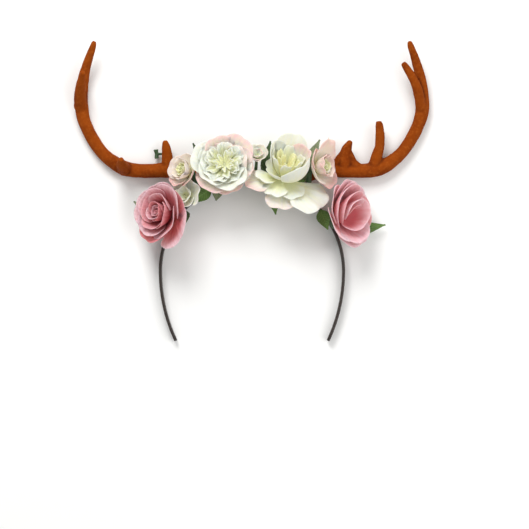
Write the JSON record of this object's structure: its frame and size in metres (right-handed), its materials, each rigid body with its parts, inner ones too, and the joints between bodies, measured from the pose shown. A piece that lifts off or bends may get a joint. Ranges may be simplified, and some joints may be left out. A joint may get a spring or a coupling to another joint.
{
  "type": "floral antler headband",
  "caption": "Springy hair band carrying a pair of flocked branching antlers and a row of cloth roses, buds and leaves over its crown.",
  "frame": {"origin": "crown of the band, on its back edge", "axes": "+X along the antlers' span, +Y up from the crown as worn, +Z out of the flowers' front; the band lies on its back edge at z = 0"},
  "size_m": [0.305, 0.2588, 0.0587],
  "materials": {
    "band": "satin wrap",
    "flock": "flocked, matte",
    "cream": "soft cloth",
    "blush": "soft cloth",
    "pink": "soft cloth",
    "heart": "soft cloth",
    "calyx": "moulded",
    "leaf": "stamped cloth",
    "leaf_dark": "stamped cloth",
    "leaf_grey": "stamped cloth"
  },
  "bodies": {
    "root": {"headband": "band", "antler_left": "flock", "antler_right": "flock", "cream_rose_left_calyx": "calyx", "cream_rose_left_outer": "cream", "cream_rose_left_middle": "cream", "cream_rose_left_inner": "cream", "cream_rose_left_heart": "heart", "cream_rose_right_calyx": "calyx", "cream_rose_right_outer": "cream", "cream_rose_right_middle": "cream", "cream_rose_right_inner": "cream", "cream_rose_right_heart": "heart", "blush_rose_left_calyx": "calyx", "blush_rose_left_outer": "blush", "blush_rose_left_inner": "blush", "blush_rose_left_heart": "heart", "blush_rose_right_calyx": "calyx", "blush_rose_right_outer": "blush", "blush_rose_right_inner": "blush", "blush_rose_right_heart": "heart", "pink_rose_left_calyx": "calyx", "pink_rose_left_outer": "pink", "pink_rose_left_middle": "pink", "pink_rose_left_inner": "pink", "pink_rose_left_heart": "heart", "pink_rose_right_calyx": "calyx", "pink_rose_right_outer": "pink", "pink_rose_right_middle": "pink", "pink_rose_right_inner": "pink", "pink_rose_right_heart": "heart", "bud_left_calyx": "calyx", "bud_left_petals": "cream", "bud_crown_calyx": "calyx", "bud_crown_petals": "cream", "leaf_crown": "leaf_dark", "leaf_left_top": "leaf_dark", "leaf_right_top": "leaf_grey", "leaf_right_side": "leaf", "leaf_left_low": "leaf", "leaf_left_pale": "leaf_grey", "leaf_right_low": "leaf", "leaf_bud": "leaf_dark", "leaf_pink_left": "leaf_grey", "leaf_pink_right_in": "leaf", "leaf_pink_right_out": "leaf", "sprig_left": "calyx"}
  },
  "joints": []
}
